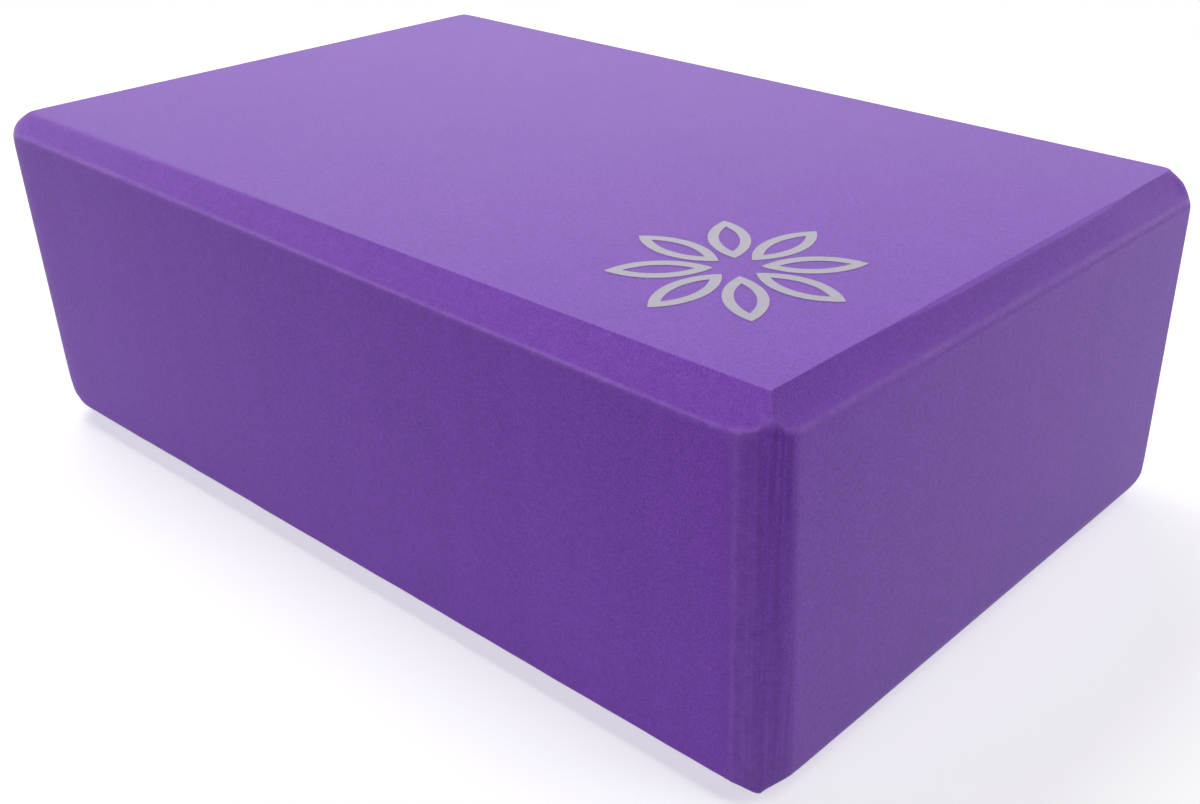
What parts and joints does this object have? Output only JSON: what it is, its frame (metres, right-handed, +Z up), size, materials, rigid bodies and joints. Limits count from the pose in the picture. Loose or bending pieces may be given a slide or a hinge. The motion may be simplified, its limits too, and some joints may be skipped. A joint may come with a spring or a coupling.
{
  "type": "yoga block",
  "caption": "Firm rectangular foam yoga block with bevelled edges and a small printed rosette near one corner of its top face, used as a prop under a hand, hip or back.",
  "frame": {"origin": "centre of the underside, on the surface that the block stands on", "axes": "+X along the block's length towards the printed end, +Y across its width away from the printed side, +Z up out of the printed face"},
  "size_m": [0.2286, 0.145, 0.0771],
  "materials": {
    "foam": "matt closed-cell foam, purple, cut and routed skin",
    "ink": "thin matt silver-grey printing ink"
  },
  "bodies": {
    "root": {"foam_block": "foam", "printed_mark": "ink"}
  },
  "joints": []
}
